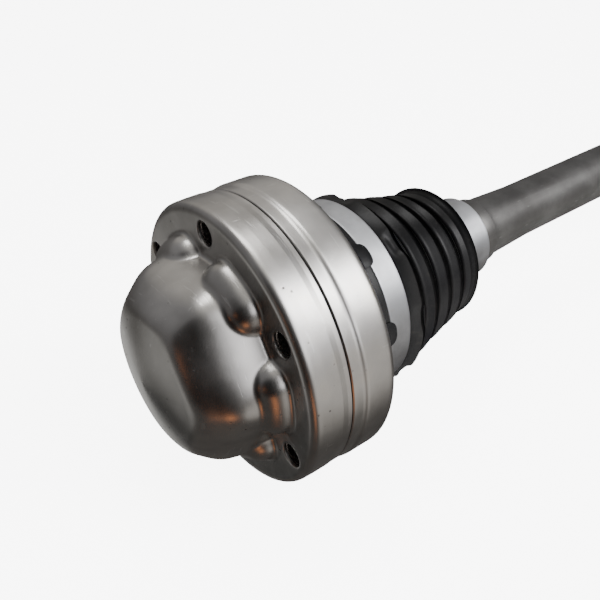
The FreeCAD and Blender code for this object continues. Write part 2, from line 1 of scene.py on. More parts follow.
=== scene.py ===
"""Plunging ball joint of a half shaft: finishes, visible surfaces, light and camera.

The scene is in metres in the row frame: +X runs along the shaft, away from the joint, and +Z
passes through the first bolt hole. Angles about X are counted from +Z towards -Y. The fields
of the pieces are in mm.
"""
import json
import logging
import math
from dataclasses import dataclass, field
from enum import Enum
from typing import Callable, Optional, Union

import bmesh
import bpy
import numpy as np
from mathutils import Matrix, Vector

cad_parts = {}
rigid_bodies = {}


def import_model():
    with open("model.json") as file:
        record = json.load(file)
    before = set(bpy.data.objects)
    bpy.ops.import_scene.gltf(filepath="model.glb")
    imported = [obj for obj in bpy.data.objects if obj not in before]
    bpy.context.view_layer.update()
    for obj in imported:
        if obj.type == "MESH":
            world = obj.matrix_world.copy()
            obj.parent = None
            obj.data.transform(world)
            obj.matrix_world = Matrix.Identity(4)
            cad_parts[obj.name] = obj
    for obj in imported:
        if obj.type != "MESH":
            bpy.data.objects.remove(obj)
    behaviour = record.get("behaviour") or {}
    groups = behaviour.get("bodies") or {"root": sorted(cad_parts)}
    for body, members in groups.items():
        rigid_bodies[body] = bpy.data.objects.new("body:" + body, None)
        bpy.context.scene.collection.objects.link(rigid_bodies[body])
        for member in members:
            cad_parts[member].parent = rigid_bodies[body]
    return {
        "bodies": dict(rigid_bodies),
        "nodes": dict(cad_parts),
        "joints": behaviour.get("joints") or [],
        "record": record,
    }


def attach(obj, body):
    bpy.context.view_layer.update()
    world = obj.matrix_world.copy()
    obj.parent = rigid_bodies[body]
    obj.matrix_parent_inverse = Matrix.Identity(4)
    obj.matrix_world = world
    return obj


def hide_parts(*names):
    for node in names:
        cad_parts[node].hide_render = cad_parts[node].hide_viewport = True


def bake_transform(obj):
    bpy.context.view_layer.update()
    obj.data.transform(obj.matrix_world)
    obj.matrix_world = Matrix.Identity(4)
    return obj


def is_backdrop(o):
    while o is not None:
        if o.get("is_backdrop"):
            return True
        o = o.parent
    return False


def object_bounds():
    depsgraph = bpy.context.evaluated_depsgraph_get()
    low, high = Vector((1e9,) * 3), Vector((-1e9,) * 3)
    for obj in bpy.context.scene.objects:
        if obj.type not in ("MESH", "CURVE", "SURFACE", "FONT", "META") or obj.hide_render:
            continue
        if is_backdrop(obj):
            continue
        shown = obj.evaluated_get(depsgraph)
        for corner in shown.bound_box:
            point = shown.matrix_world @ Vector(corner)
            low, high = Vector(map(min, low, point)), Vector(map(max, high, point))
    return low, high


LOG = logging.getLogger("ball_joint")
MM = 0.001
FULL_TURN = 2.0 * math.pi
# Points nearer than this, in metres, are joined.
JOIN = 2e-7
# The bevel of the covers' edges at the seam, along the axis and inward, in mm.
SEAM_EDGE = (0.35, 0.3)
Number = Union[float, "Value"]
Grid = np.ndarray
Object = bpy.types.Object


class Body(Enum):
    """The CAD bodies that the new pieces ride on."""

    HOUSING = "housing"
    SHAFT = "shaft_group"


# Shader maths


@dataclass(frozen=True)
class Value:
    """A shader socket that takes part in Python arithmetic."""

    graph: "Graph"
    socket: bpy.types.NodeSocket

    def through(self, operation: str, *others: Number, clamp: bool = False) -> "Value":
        """Add one Math node of this socket and the others."""
        settings = {"operation": operation, "use_clamp": clamp}
        return self.graph.node("ShaderNodeMath", settings, dict(enumerate((self, *others))))

    def __add__(self, other: Number) -> "Value":
        """Sum."""
        return self.through("ADD", other)

    def __sub__(self, other: Number) -> "Value":
        """Difference."""
        return self.through("SUBTRACT", other)

    def __mul__(self, other: Number) -> "Value":
        """Product."""
        return self.through("MULTIPLY", other)

    def clamped(self) -> "Value":
        """This socket held between 0 and 1."""
        return self.through("ADD", 0.0, clamp=True)

    def ramp(self, low: float, high: float) -> "Value":
        """A smooth step that is 0 at low and 1 at high, which may be the smaller."""
        settings = {"interpolation_type": "SMOOTHSTEP", "clamp": True}
        inputs = {"Value": self, "From Min": low, "From Max": high}
        return self.graph.node("ShaderNodeMapRange", settings, inputs)


class Graph:
    """The node tree of one material or world, with one way to add any node."""

    def __init__(self, tree: bpy.types.NodeTree) -> None:
        """Empty the tree and keep it."""
        self.tree = tree
        tree.nodes.clear()

    def node(self, kind: str, settings: Optional[dict] = None, inputs: Optional[dict] = None,
             output: Union[int, str] = 0) -> Value:
        """Add a node, set it up, and fill or link its sockets.

        Args:
            kind: The node's type.
            settings: Its own properties, set first.
            inputs: Values or links by socket name or number.
            output: The name or number of the output to return.

        Returns:
            The chosen output, ready for arithmetic.
        """
        made = self.tree.nodes.new(kind)
        for name, setting in (settings or {}).items():
            setattr(made, name, setting)
        for name, value in (inputs or {}).items():
            socket = made.inputs[name]
            if isinstance(value, Value):
                self.tree.links.new(value.socket, socket)
            else:
                socket.default_value = value
        found = made.outputs[output] if len(made.outputs) else None
        return Value(self, found)

    def place(self) -> Value:
        """Object coordinates, which are the row frame's, in metres."""
        return self.node("ShaderNodeTexCoord", output="Object")

    def parts(self, vector: Value) -> tuple:
        """The X, Y and Z of a vector socket."""
        split = self.tree.nodes.new("ShaderNodeSeparateXYZ")
        self.tree.links.new(vector.socket, split.inputs[0])
        return tuple(Value(self, socket) for socket in split.outputs)

    def cylindrical(self, along: float, around: float) -> Value:
        """Coordinates for marks that follow a turned surface.

        They are X and the cosine and sine of the angle about it, so the marks meet all round.

        Args:
            along: The scale along the axis, per metre.
            around: The scale of the cosine and sine.

        Returns:
            A vector socket.
        """
        forward, across, upward = self.parts(self.place())
        angle = across.through("ARCTAN2", upward)
        cosine, sine = angle.through("COSINE"), angle.through("SINE")
        inputs = {"X": forward * along, "Y": cosine * around, "Z": sine * around}
        return self.node("ShaderNodeCombineXYZ", None, inputs)

    def noise(self, scale: float, detail: float, rough: float, vector: Optional[Value] = None) -> Value:
        """Fractal noise, about 0.5 on average, over object coordinates or the given ones."""
        inputs = {"Vector": vector or self.place(), "Scale": scale, "Detail": detail, "Roughness": rough}
        return self.node("ShaderNodeTexNoise", {"noise_dimensions": "3D"}, inputs)

    def streaks(self, scale: tuple, detail: float, rough: float) -> Value:
        """Fractal noise with a scale for each axis."""
        inputs = {"Vector": self.place(), "Scale": scale}
        vector = self.node("ShaderNodeMapping", {"vector_type": "POINT"}, inputs)
        return self.noise(1.0, detail, rough, vector)

    def cells(self, vector: Value, scale: float) -> Value:
        """Distance to the nearest of scattered points."""
        inputs = {"Vector": vector, "Scale": scale}
        return self.node("ShaderNodeTexVoronoi", {"feature": "F1"}, inputs, "Distance")

    def mix(self, amount: Number, first: object, second: object) -> Value:
        """Mix two colours.

        Args:
            amount: How much of the second shows, 0 to 1.
            first: A colour socket or an (r, g, b) tuple.
            second: The same, for the other colour.

        Returns:
            The mixed colour.
        """
        settings = {"data_type": "RGBA", "blend_type": "MIX", "clamp_factor": True}
        colours = [c if isinstance(c, Value) else (*c, 1.0) for c in (first, second)]
        return self.node("ShaderNodeMix", settings, {0: amount, 6: colours[0], 7: colours[1]}, 2)

    def bump(self, height: Value, depth: float, strength: float = 0.5) -> Value:
        """A normal bent by a height of 0 to 1 that stands for a depth in metres."""
        inputs = {"Strength": strength, "Distance": depth, "Height": height}
        return self.node("ShaderNodeBump", None, inputs)


def new_material(title: str, paint: Callable[[Graph], dict]) -> bpy.types.Material:
    """A material with one Principled shader.

    Args:
        title: Its name.
        paint: Gives the shader's inputs, and adds their nodes to the graph.

    Returns:
        The new material.
    """
    made = bpy.data.materials.new(title)
    made.use_nodes = True
    graph = Graph(made.node_tree)
    shader = graph.node("ShaderNodeBsdfPrincipled", None, paint(graph))
    graph.node("ShaderNodeOutputMaterial", None, {"Surface": shader})
    return made


class Finish:
    """A surface finish. Its colour, gloss and relief come from one node graph."""

    title: str = "finish"
    metallic: float = 1.0
    specular: float = 0.5

    def paint(self, graph: Graph) -> tuple:
        """The colour, the roughness and the normal."""
        raise NotImplementedError

    def inputs(self, graph: Graph) -> dict:
        """The inputs of the surface shader."""
        colour, rough, normal = self.paint(graph)
        return {"Base Color": colour, "Metallic": self.metallic, "Roughness": rough.clamped(),
                "Specular IOR Level": self.specular, "Normal": normal}

    def material(self) -> bpy.types.Material:
        """Build the material."""
        return new_material(self.title, self.inputs)


@dataclass(frozen=True)
class PressedSteel(Finish):
    """Drawn sheet steel under a thin clear oil: satin, streaked, lightly scratched and pitted."""

    title: str = "pressed_steel"
    bright: tuple = (0.56, 0.545, 0.525)
    dull: tuple = (0.36, 0.347, 0.33)
    heat: tuple = (0.42, 0.33, 0.17)
    scratched: tuple = (0.62, 0.61, 0.59)
    pitted: tuple = (0.06, 0.05, 0.045)
    gloss: float = 0.2

    def paint(self, graph: Graph) -> tuple:
        """Cloudy draw marks, fine scratches, pits and faint warm patches."""
        cloud = graph.noise(24.0, 4.0, 0.6)
        patch = graph.noise(75.0, 5.0, 0.62)
        fine = graph.noise(900.0, 3.0, 0.6)
        drawn = graph.noise(2.2, 4.0, 0.7, graph.cylindrical(160.0, 3.0))
        scratch = graph.streaks((700.0, 60.0, 110.0), 3.0, 0.55).ramp(0.665, 0.7)
        nick = graph.streaks((90.0, 560.0, 420.0), 3.0, 0.5).ramp(0.69, 0.73)
        pit = graph.cells(graph.place(), 300.0).ramp(0.17, 0.05) * patch.ramp(0.52, 0.64)
        base = graph.mix(cloud.ramp(0.32, 0.68), self.dull, self.bright)
        warm = graph.mix(cloud.ramp(0.52, 0.74) * patch.ramp(0.4, 0.7) * 0.45, base, self.heat)
        lighter = graph.mix((scratch + nick).clamped() * 0.45, warm, self.scratched)
        colour = graph.mix(pit * 0.75, lighter, self.pitted)
        rough = cloud * 0.12 + self.gloss + patch * 0.08 + drawn * 0.05 + pit * 0.25
        height = drawn * 0.35 + patch * 0.45 + fine * 0.06 - pit * 0.9 - scratch * 0.2 - nick * 0.2
        return colour, rough, graph.bump(height, 0.0001)


@dataclass(frozen=True)
class ClampMetal(Finish):
    """Stainless band: pale, matte, with fine lines round it and small rub marks."""

    title: str = "clamp_metal"
    pale: tuple = (0.48, 0.486, 0.5)
    dull: tuple = (0.37, 0.375, 0.388)
    rubbed: tuple = (0.36, 0.355, 0.35)

    def paint(self, graph: Graph) -> tuple:
        """Lines round the band from noise stretched about the axis, with soft stains."""
        lines = graph.noise(1.0, 2.0, 0.5, graph.cylindrical(2600.0, 4.0))
        stain = graph.noise(70.0, 4.0, 0.6)
        rub = graph.streaks((160.0, 700.0, 400.0), 3.0, 0.5).ramp(0.64, 0.74)
        base = graph.mix(stain.ramp(0.34, 0.7), self.dull, self.pale)
        colour = graph.mix(rub * 0.5, base, self.rubbed)
        rough = lines * 0.12 + 0.36 + stain * 0.1
        return colour, rough, graph.bump(lines * 0.6 + stain * 0.4, 0.00006, 0.6)


@dataclass(frozen=True)
class BootRubber(Finish):
    """Moulded chloroprene: near-black satin, with a painted sheen greying the crests, dusty in patches."""

    title: str = "boot_rubber"
    black: tuple = (0.0035, 0.0035, 0.004)
    # A lighter rubber grey, used for random soft blotches and for the painted sheen on the crests.
    lighter: tuple = (0.011, 0.0108, 0.0105)
    dust: tuple = (0.05, 0.043, 0.032)
    metallic: float = 0.0
    specular: float = 0.15

    def paint(self, graph: Graph) -> tuple:
        """Mould grain, soft blotches and dust, and a painted sheen on the crests from the piece's attribute.
        """
        blotch = graph.noise(48.0, 5.0, 0.6)
        grain = graph.noise(1700.0, 2.0, 0.5)
        dust = graph.noise(240.0, 4.0, 0.65).ramp(0.58, 0.78)
        crest = graph.node("ShaderNodeAttribute", {"attribute_name": "crest"}, None, "Fac")
        base = graph.mix(blotch.ramp(0.35, 0.75) * 0.6, self.black, self.lighter)
        # Painted sheen: the crests are lighter in colour and the valleys stay dark, by the crest attribute.
        shade = graph.mix(crest * 0.5, base, self.lighter)
        colour = graph.mix(dust * 0.12, shade, self.dust)
        rough = blotch * 0.16 + 0.24 + grain * 0.06 + dust * 0.2
        return colour, rough, graph.bump(grain * 0.25 + blotch * 0.9, 0.00012)


@dataclass(frozen=True)
class ShaftSteel(Finish):
    """Black-oxide bar steel: dark satin, with turning lines and long rub marks."""

    title: str = "shaft_steel"
    dark: tuple = (0.105, 0.102, 0.098)
    light: tuple = (0.15, 0.147, 0.142)
    rubbed: tuple = (0.32, 0.32, 0.31)
    metallic: float = 0.9

    def paint(self, graph: Graph) -> tuple:
        """Fine turning lines, long streaks along the bar and small bright rubs."""
        turning = graph.streaks((2200.0, 6.0, 6.0), 2.0, 0.5)
        streak = graph.streaks((9.0, 260.0, 260.0), 4.0, 0.6)
        blotch = graph.noise(65.0, 5.0, 0.6)
        rub = graph.streaks((120.0, 900.0, 500.0), 3.0, 0.5).ramp(0.66, 0.75)
        base = graph.mix(blotch.ramp(0.35, 0.72), self.dark, self.light)
        long = graph.mix(streak.ramp(0.5, 0.7) * 0.35, base, self.light)
        colour = graph.mix(rub * 0.3, long, self.rubbed)
        rough = blotch * 0.06 + 0.3 + streak * 0.12 + turning * 0.05
        return colour, rough, graph.bump(turning * 0.5 + streak * 0.5, 0.00005)


@dataclass(frozen=True)
class GroundSteel(Finish):
    """Hardened bearing steel: bright, with grinding lines about the axis."""

    title: str = "race_steel"
    bright: tuple = (0.6, 0.595, 0.58)
    dull: tuple = (0.42, 0.415, 0.4)
    gloss: float = 0.2
    lines: float = 1800.0

    def paint(self, graph: Graph) -> tuple:
        """Grinding lines and a thin, uneven film of grease."""
        ground = graph.noise(1.0, 2.0, 0.5, graph.cylindrical(self.lines, 8.0))
        film = graph.noise(90.0, 4.0, 0.6)
        colour = graph.mix(film.ramp(0.35, 0.7), self.dull, self.bright)
        return colour, ground * 0.1 + self.gloss + film * 0.12, graph.bump(ground, 0.00003)


@dataclass(frozen=True)
class GasketFibre(Finish):
    """Pressed fibre sheet: dark brown-grey and matt."""

    title: str = "gasket"
    dark: tuple = (0.045, 0.038, 0.032)
    light: tuple = (0.085, 0.074, 0.062)
    metallic: float = 0.0

    def paint(self, graph: Graph) -> tuple:
        """Short fibres in two directions over a speckled ground."""
        fibre = graph.streaks((300.0, 2400.0, 500.0), 3.0, 0.6)
        speck = graph.noise(900.0, 3.0, 0.6)
        colour = graph.mix((fibre + speck - 0.5).clamped(), self.dark, self.light)
        return colour, speck * 0.2 + 0.72, graph.bump(fibre * 0.6 + speck * 0.4, 0.00008, 0.6)


# Surfaces


def rounded(corners: list, steps: int = 6) -> Grid:
    """A profile whose corners are arcs.

    Each corner (along, out, radius) becomes an arc that touches both neighbouring edges: its
    ends lie radius * tan(turn / 2) from the corner, and it is drawn at evenly spaced angles.

    Args:
        corners: (along, out, radius) in mm. The first and last corners stay sharp.
        steps: Points in each arc.

    Returns:
        (along, out) points in mm.
    """
    ends = np.array(corners, float)[:, :2]
    points = [ends[:1]]
    for before, here, after, (_, _, radius) in zip(ends, ends[1:], ends[2:], corners[1:]):
        if radius <= 0.0:
            points.append(here[None])
            continue
        back, ahead = before - here, after - here
        back /= np.linalg.norm(back)
        ahead /= np.linalg.norm(ahead)
        turn = math.pi - math.acos(float(np.clip(back @ ahead, -1.0, 1.0)))
        trim = radius * math.tan(turn / 2.0)
        middle = back + ahead
        centre = here + middle / np.linalg.norm(middle) * (radius / math.cos(turn / 2.0))
        start = here + back * trim - centre
        sign = math.copysign(1.0, start[0] * ahead[1] - start[1] * ahead[0])
        swing = sign * np.linspace(0.0, turn, steps)
        cosine, sine = np.cos(swing)[:, None], np.sin(swing)[:, None]
        across = np.array([-start[1], start[0]])
        points.append(centre + cosine * start + sine * across)
    return np.vstack([*points, ends[-1:]])


def refined(profile: Grid, step: float) -> Grid:
    """A profile with extra points on its long edges, so that none is longer than step.

    Args:
        profile: (along, out) points.
        step: The longest edge allowed, in the profile's unit.

    Returns:
        The profile's own points and the ones between them.
    """
    lengths = np.linalg.norm(np.diff(profile, axis=0), axis=1)
    counts = np.maximum(1, np.ceil(lengths / step)).astype(int)
    edge = np.repeat(np.arange(len(counts)), counts)
    first = np.repeat(np.cumsum(counts) - counts, counts)
    share = (np.arange(counts.sum()) - first) / counts[edge]
    inner = profile[edge] + (profile[edge + 1] - profile[edge]) * share[:, None]
    return np.vstack([inner, profile[-1:]])


def ring_angles(count: int) -> Grid:
    """Evenly spaced angles about X, one turn in all."""
    return np.linspace(0.0, FULL_TURN, count, endpoint=False)


def about_axis(section: Grid, turns: int) -> tuple:
    """Grids for a section turned about X.

    Args:
        section: (along, out) points, one for each row.
        turns: Columns round the axis.

    Returns:
        Three (rows, turns) arrays: along, out and the angle in radians.
    """
    grids = np.broadcast_arrays(section[:, :1], section[:, 1:], ring_angles(turns))
    return tuple(grid.copy() for grid in grids)


def from_axis(along: Grid, out: Grid, angle: Grid) -> Grid:
    """Points in metres: (along, -out sin(angle), out cos(angle)), one to a row."""
    points = np.stack([along, -out * np.sin(angle), out * np.cos(angle)], axis=-1) * MM
    return points.reshape(-1, 3)


def placed(name: str, data: bpy.types.ID) -> Object:
    """A new object with this data, in the scene."""
    made = bpy.data.objects.new(name, data)
    bpy.context.scene.collection.objects.link(made)
    return made


def shade(mesh: bpy.types.Mesh, sharp: float = 32.0) -> None:
    """Shade a mesh smooth, but for edges sharper than an angle in degrees."""
    mesh.shade_smooth()
    mesh.set_sharp_from_angle(angle=math.radians(sharp))


def wrap(name: str, along: Grid, out: Grid, angle: Grid, loop: bool = False,
         attributes: Optional[dict] = None) -> Object:
    """A mesh on a grid about X, whose points from_axis gives, with its poles closed.

    Args:
        name: The piece's name.
        along: Places on the axis in mm, by row and column.
        out: Distances from the axis in mm. A row at 0 closes in a pole.
        angle: Angles about X in radians.
        loop: Whether the last row joins the first.
        attributes: Numbers for each point, by name, for the materials.

    Returns:
        A smooth-shaded object at the origin. Its faces look to the left of the row direction,
        which is outward for a profile that runs towards +X.
    """
    index = np.arange(out.size).reshape(out.shape)
    ahead = np.roll(index, -1, axis=0) if loop else index[1:]
    here = index if loop else index[:-1]
    beside, beyond = np.roll(here, -1, axis=1), np.roll(ahead, -1, axis=1)
    faces = np.stack([here, beside, beyond, ahead], axis=-1).reshape(-1, 4)
    mesh = bpy.data.meshes.new(name)
    mesh.from_pydata(from_axis(along, out, angle), [], faces)
    for title, values in (attributes or {}).items():
        layer = mesh.attributes.new(title, "FLOAT", "POINT")
        layer.data.foreach_set("value", np.asarray(values, np.float32).ravel())
    shell = bmesh.new()
    shell.from_mesh(mesh)
    bmesh.ops.remove_doubles(shell, verts=shell.verts, dist=JOIN)
    bmesh.ops.dissolve_degenerate(shell, edges=shell.edges, dist=JOIN / 20.0)
    shell.to_mesh(mesh)
    shell.free()
    shade(mesh)
    return placed(name, mesh)


def cut(piece: Object, tool: Object) -> None:
    """Take a tool's solid out of a piece, then remove the tool."""
    change = piece.modifiers.new("cut", "BOOLEAN")
    change.operation, change.solver, change.object = "DIFFERENCE", "EXACT", tool
    bpy.context.view_layer.update()
    graph = bpy.context.evaluated_depsgraph_get()
    mesh = bpy.data.meshes.new_from_object(piece.evaluated_get(graph))
    piece.modifiers.clear()
    piece.data = mesh
    bpy.data.objects.remove(tool)
    shade(mesh)


def smooth_low(first: Grid, second: Grid, fillet: float) -> Grid:
    """The lower of two fields, joined by a fillet: min(a, b) - f/4 * max(1 - |a - b|/f, 0)^2."""
    near = np.maximum(1.0 - np.abs(first - second) / fillet, 0.0)
    return np.minimum(first, second) - near * near * fillet / 4.0


def smooth_high(first: Grid, second: Grid, fillet: float) -> Grid:
    """The higher of two fields, joined by a fillet."""
    return -smooth_low(-first, -second, fillet)


def smooth_step(low: float, high: float, value: Grid) -> Grid:
    """0 below low, 1 above high, and 3t^2 - 2t^3 between them."""
    share = np.clip((value - low) / (high - low), 0.0, 1.0)
    return share * share * (3.0 - 2.0 * share)


# Pieces


@dataclass
class Piece:
    """A visible sub-assembly, with its sizes in mm."""

    frame: dict

    def dress(self, piece: Object, node: str, finish: Finish, slot: str,
              body: Optional[Body] = None) -> None:
        """Give a piece its finish, its body and the CAD node that it stands for.

        Args:
            piece: The finished mesh object.
            node: The CAD node it replaces.
            finish: Its surface finish.
            slot: The record's material slot; not used.
            body: The CAD body it moves with; a blended piece has none.
        """
        piece.data.materials.clear()
        piece.data.materials.append(finish.material())
        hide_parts(node)
        if body:
            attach(piece, body.value)
        LOG.info("%s: %d faces for %s", piece.name, len(piece.data.polygons), node)


@dataclass
class EndCover(Piece):
    """Front cover: a drawn dome with six flats, six lobes at its foot, face, rim and skirt."""

    wall: float = 1.2
    slopes: tuple = ((36.5, 0.0), (34.5, 15.9), (26.0, 24.6), (8.0, 28.9), (0.0, 29.2))
    crease: float = 2.2
    flats: tuple = ((34.2, 0.0, math.radians(6.5), 1.7), (32.5, 13.4, math.radians(29.6), 3.2))
    edge_turn: float = math.radians(4.5)
    lobe_circle: float = 32.2
    lobe_radius: float = 8.3
    lobe_half_span: float = math.radians(8.5)
    lobe_fillet: float = 1.3
    plate_fillet: float = 1.6
    holes: int = 6
    hole_circle: float = 43.0
    hole_radius: float = 4.2
    hole_flare: float = 0.35
    hole_sides: int = 48
    skirt_radius: float = 50.6
    band_radius: float = 50.8
    band_start: float = 6.6
    band_end: float = 11.0
    step_long: float = 2.0
    rim_round: float = 2.8
    skirt_end: float = 14.8
    heart: tuple = (28.0, -6.0)
    reach: float = 60.0
    halvings: int = 40
    trial_rays: int = 900
    rows: int = 150
    columns: int = 360
    inner_step: int = 4

    def depth(self, out: Grid, high: Grid, angle: Grid) -> Grid:
        """Signed distance, roughly, from the cover's front: below 0 inside the steel.

        The dome is the smooth intersection of turned slopes through the (out, high) corners
        with flats in line with the holes: six steep ones for its wall and six more tilted
        ones above. Each flat is (out, high, tilt, crease). Between two flats the turn from
        the hole, half a pitch less sqrt(d^2 + edge_turn^2) with d the turn to their joint,
        rounds the edge. The dome is joined by fillets to the face, which is the plane
        high = 0, and to the lobes: each is the set of points nearer than lobe_radius to a
        short arc about the axis.

        Args:
            out: Distance from the axis.
            high: Height in front of the face.
            angle: Angle about the axis.

        Returns:
            The distance, of the same shape.
        """
        dome = None
        for (low_out, low_high), (top_out, top_high) in zip(self.slopes[:-1], self.slopes[1:]):
            length = math.hypot(top_out - low_out, top_high - low_high)
            normal = ((top_high - low_high) / length, (low_out - top_out) / length)
            slope = (out - low_out) * normal[0] + (high - low_high) * normal[1]
            dome = slope if dome is None else smooth_high(dome, slope, self.crease)
        pitch = FULL_TURN / self.holes
        from_hole = (angle + pitch / 2.0) % pitch - pitch / 2.0
        from_hole = pitch / 2.0 - np.sqrt((pitch / 2.0 - np.abs(from_hole)) ** 2 + self.edge_turn ** 2)
        for flat_out, flat_high, tilt, crease in self.flats:
            flat = (out * np.cos(from_hole) - flat_out) * math.cos(tilt)
            dome = smooth_high(dome, flat + (high - flat_high) * math.sin(tilt), crease)
        past = np.maximum(np.abs(angle % pitch - pitch / 2.0) - self.lobe_half_span, 0.0)
        aside = 2.0 * out * self.lobe_circle * np.cos(past)
        lobe = np.sqrt(out * out + self.lobe_circle ** 2 - aside + high * high) - self.lobe_radius
        return smooth_low(smooth_low(dome, lobe, self.lobe_fillet), high, self.plate_fillet)

    def front(self) -> tuple:
        """The cover's front, from the dome's centre to the flat rim.

        Every point lies on a ray from the heart of the wall's section, in the half-plane of
        its angle, and is found by halving the stretch of ray in which the distance changes
        sign. The rays are spaced so that the points lie evenly along the section.

        Returns:
            Grids of along and out in mm.
        """
        start = math.atan2(self.slopes[-1][1] - self.heart[1], -self.heart[0])
        end = math.atan2(-self.heart[1], self.hole_circle + self.hole_radius - self.heart[0])
        trial = np.linspace(start, end, self.trial_rays)[:, None]
        out, high = self.hit(trial, np.full((1, 1), FULL_TURN / self.holes / 2.0))
        walked = np.append(0.0, np.cumsum(np.hypot(np.diff(out[:, 0]), np.diff(high[:, 0]))))
        even = np.interp(np.linspace(0.0, walked[-1], self.rows), walked, trial[:, 0])
        out, high = self.hit(even[:, None], ring_angles(self.columns)[None, :])
        out[0], high[0] = 0.0, high[0].mean()
        return -high, out

    def hit(self, ray: Grid, angle: Grid) -> tuple:
        """Where rays from the heart leave the steel.

        Args:
            ray: Directions in the half-plane, from outward towards the front.
            angle: Angles about the axis.

        Returns:
            Grids of out and height.
        """
        near = np.zeros(np.broadcast(ray, angle).shape)
        far = near + self.reach
        for _ in range(self.halvings):
            middle = (near + far) / 2.0
            out = self.heart[0] + middle * np.cos(ray)
            inside = self.depth(np.abs(out), self.heart[1] + middle * np.sin(ray), angle) < 0.0
            near, far = np.where(inside, middle, near), np.where(inside, far, middle)
        return np.maximum(self.heart[0] + near * np.cos(ray), 0.0), self.heart[1] + near * np.sin(ray)

    def skirt(self) -> Grid:
        """The section of rim, band and skirt, beyond the flat face, as (along, out)."""
        return refined(rounded([
            (0.0, self.hole_circle + self.hole_radius + 0.05, 0.0),
            (0.0, self.skirt_radius, self.rim_round), (self.band_start, self.band_radius, 8.0),
            (self.band_end, self.band_radius, 2.0),
            (self.band_end + self.step_long, self.skirt_radius, 2.0),
            (self.skirt_end - SEAM_EDGE[0], self.skirt_radius, 0.0),
            (self.skirt_end, self.skirt_radius - SEAM_EDGE[1], 0.0),
        ], 7), 1.2)[1:]

    def build(self) -> Object:
        """Make the shell: the front and skirt, and the same form a wall's thickness inside.

        Returns:
            The finished piece.
        """
        along, out, angle = about_axis(self.skirt(), self.columns)
        front_along, front_out = self.front()
        along, out = np.vstack([front_along, along]), np.vstack([front_out, out])
        inner_along, inner_out = self.inside(along, out)
        sparse = np.arange(len(out) - 1, -1, -self.inner_step)
        sparse = np.append(sparse, 0) if sparse[-1] else sparse
        along, out = np.vstack([along, inner_along[sparse]]), np.vstack([out, inner_out[sparse]])
        shell = wrap("end_cover_shell", along, out, np.broadcast_to(angle[:1], out.shape))
        cut(shell, self.punch())
        self.dress(shell, "end_cover", PressedSteel(), "pressed_steel", Body.HOUSING)
        return shell

    def inside(self, along: Grid, out: Grid) -> tuple:
        """The inner face: each point moved by the wall against its section's normal.

        Args:
            along: The outer grid's places.
            out: The outer grid's distances.

        Returns:
            The inner grids.
        """
        run, rise = np.gradient(along, axis=0), np.gradient(out, axis=0)
        length = np.maximum(np.hypot(run, rise), 1e-9)
        moved_along = along + self.wall * rise / length
        moved_out = np.maximum(out - self.wall * run / length, 0.0)
        moved_along[0], moved_out[0] = along[0] + self.wall, 0.0
        return moved_along, moved_out

    def punch(self) -> Object:
        """Six turned pins that cut the bolt holes, each a little wider at the face.

        Returns:
            One mesh object of closed pins.
        """
        radius, wide = self.hole_radius, self.hole_radius + self.hole_flare
        section = np.array([(-4.0, 0.0), (-4.0, wide), (-0.02, wide), (0.12, radius + 0.12),
                            (0.34, radius), (6.0, radius), (6.0, 0.0)])
        along, aside, around = about_axis(section, self.hole_sides)
        upward, across = self.hole_circle + aside * np.cos(around), aside * np.sin(around)
        whole = bmesh.new()
        for turn in np.arange(self.holes) * FULL_TURN / self.holes:
            pin = wrap("pin", along, np.hypot(upward, across), np.arctan2(across, upward) + turn)
            whole.from_mesh(pin.data)
            bpy.data.objects.remove(pin)
        bmesh.ops.recalc_face_normals(whole, faces=whole.faces)
        mesh = bpy.data.meshes.new("punch")
        whole.to_mesh(mesh)
        whole.free()
        return placed("punch", mesh)


@dataclass
class RearCover(Piece):
    """Boot-side cover: narrow skirt, raised band, rounded edge, bell and boot seat."""

    skirt_start: float = 15.2
    skirt_radius: float = 50.6
    band_at: float = 19.4
    band_ramp: float = 1.2
    band_radius: float = 51.2
    plate_at: float = 32.4
    rim_round: float = 2.6
    bell_radius: float = 41.5
    bell_end: float = 39.4
    bell_taper: float = 1.6
    seat_radius: float = 31.6
    seat_end: float = 53.2
    wall: float = 1.2
    punch_lead: float = 1.5
    columns: int = 288

    def section(self) -> Grid:
        """The closed section as (along, out), its outside from the seam to the boot's seat."""
        wall, ramp_end = self.wall, self.band_at + self.band_ramp
        bell_tip = self.bell_radius - self.bell_taper
        outer = rounded([
            (self.skirt_start, self.skirt_radius - SEAM_EDGE[1], 0.0),
            (self.skirt_start + SEAM_EDGE[0], self.skirt_radius, 0.3),
            (self.band_at, self.skirt_radius, 3.0), (ramp_end, self.band_radius, 3.0),
            (self.plate_at, self.band_radius, self.rim_round),
            (self.plate_at, self.bell_radius, 1.4), (self.bell_end, bell_tip, self.rim_round),
            (self.bell_end, self.seat_radius, 0.8), (self.seat_end, self.seat_radius, 0.0),
        ], 8)
        inner = rounded([
            (self.seat_end, self.seat_radius - wall, 0.0),
            (self.bell_end - wall, self.seat_radius - wall, 1.0),
            (self.bell_end - wall, bell_tip - wall, 1.4),
            (self.plate_at - wall, self.bell_radius - wall, 1.4),
            (self.plate_at - wall, self.band_radius - wall, 1.4),
            (ramp_end, self.band_radius - wall, 1.0), (self.band_at, self.skirt_radius - wall, 1.0),
            (self.skirt_start, self.skirt_radius - wall, 0.0),
        ], 5)
        return np.vstack([refined(outer, 1.4), refined(inner, 4.0)])

    def build(self, punch: Object) -> Object:
        """Turn the section about the axis and punch the bolt holes.

        Args:
            punch: The pins that cut the holes, at the front face's place.

        Returns:
            The finished piece.
        """
        shell = wrap("rear_cover_shell", *about_axis(self.section(), self.columns), loop=True)
        place = Vector((self.plate_at - self.punch_lead, 0.0, 0.0)) * MM
        punch.data.transform(Matrix.Translation(place))
        cut(shell, punch)
        self.dress(shell, "rear_cover", PressedSteel(), "pressed_steel", Body.HOUSING)
        return shell


